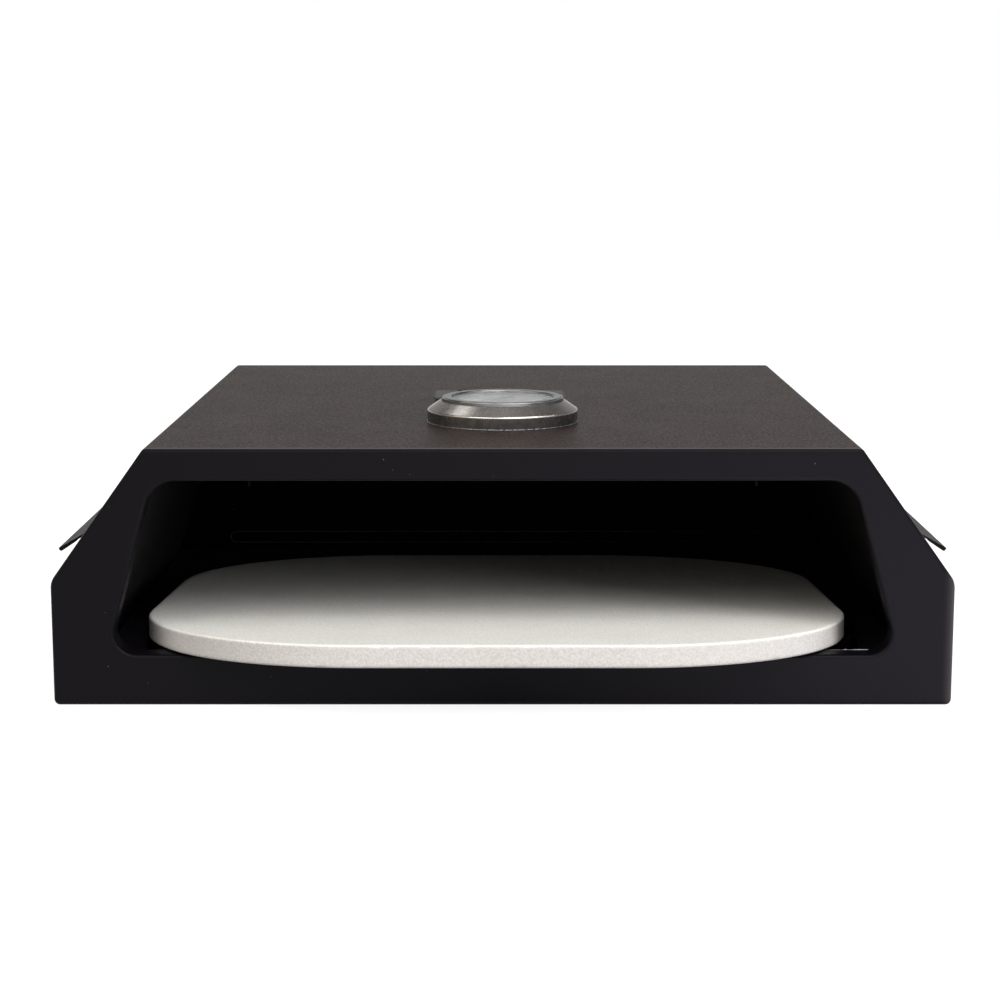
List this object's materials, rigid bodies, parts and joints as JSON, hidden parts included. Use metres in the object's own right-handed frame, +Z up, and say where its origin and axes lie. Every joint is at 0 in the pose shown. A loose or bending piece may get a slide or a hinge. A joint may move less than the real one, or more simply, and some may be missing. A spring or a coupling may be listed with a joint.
{
  "type": "grill top pizza oven",
  "caption": "Low black double-skinned steel box with a wide rounded front mouth, slanted sides, side handles, a leaning baking stone and a round dial thermometer on the roof.",
  "frame": {"origin": "on the resting plane, under the middle of the bounding box: the oven's middle in X, and half way between the stone's front edge and the rear panel in Y", "axes": "+X to the right seen from the front, +Y from the mouth to the back, +Z up"},
  "size_m": [0.4242, 0.3903, 0.1275],
  "materials": {
    "black_powder_coat": "fine textured black powder coat",
    "chamber_black": "smooth heat-proof black paint",
    "vent_coat": "smooth dark grey coat",
    "cordierite": "matt, fine grained, pale cream",
    "stainless": "brushed",
    "zinc_steel": "zinc plated",
    "lens_glass": "clear",
    "dial_print": "matt white with printed scale",
    "bush_brass": "turned",
    "pointer_black": "satin"
  },
  "bodies": {
    "oven_body": {"outer_shell": "black_powder_coat", "front_panel": "black_powder_coat", "rear_panel": "black_powder_coat", "rear_panel_rivets": "black_powder_coat", "inner_liner": "chamber_black", "liner_back_wall": "chamber_black", "mouth_lip_rivets": "zinc_steel", "liner_back_rivets": "zinc_steel", "floor_tray": "chamber_black", "roof_brace": "chamber_black", "right_stone_bracket": "chamber_black", "left_stone_bracket": "chamber_black", "right_handle": "black_powder_coat", "left_handle": "black_powder_coat", "right_handle_rivets": "black_powder_coat", "left_handle_rivets": "black_powder_coat", "vent_cover": "vent_coat", "vent_spacers": "vent_coat", "vent_rivets": "vent_coat", "thermometer_case": "stainless", "thermometer_cup": "stainless", "thermometer_bezel": "stainless", "thermometer_lens": "lens_glass", "thermometer_dial": "dial_print", "probe_stem": "stainless", "stem_bush": "bush_brass", "bimetal_coil": "stainless", "spacer_sleeve": "zinc_steel", "stem_washer": "zinc_steel", "stem_nut": "zinc_steel"},
    "stone": {"pizza_stone": "cordierite"},
    "pointer": {"needle": "pointer_black", "needle_shaft": "stainless"}
  },
  "joints": [
    {"name": "stone_slide", "type": "slide", "parent": "oven_body", "child": "stone", "axis": [0, -0.9975, 0.0712], "range_m": [0, 0.3]},
    {"name": "needle_turn", "type": "hinge", "parent": "oven_body", "child": "pointer", "pos_m": [0, -0.06032, 0.125], "axis": [0, 0, 1], "range_deg": [-270, 0]}
  ]
}
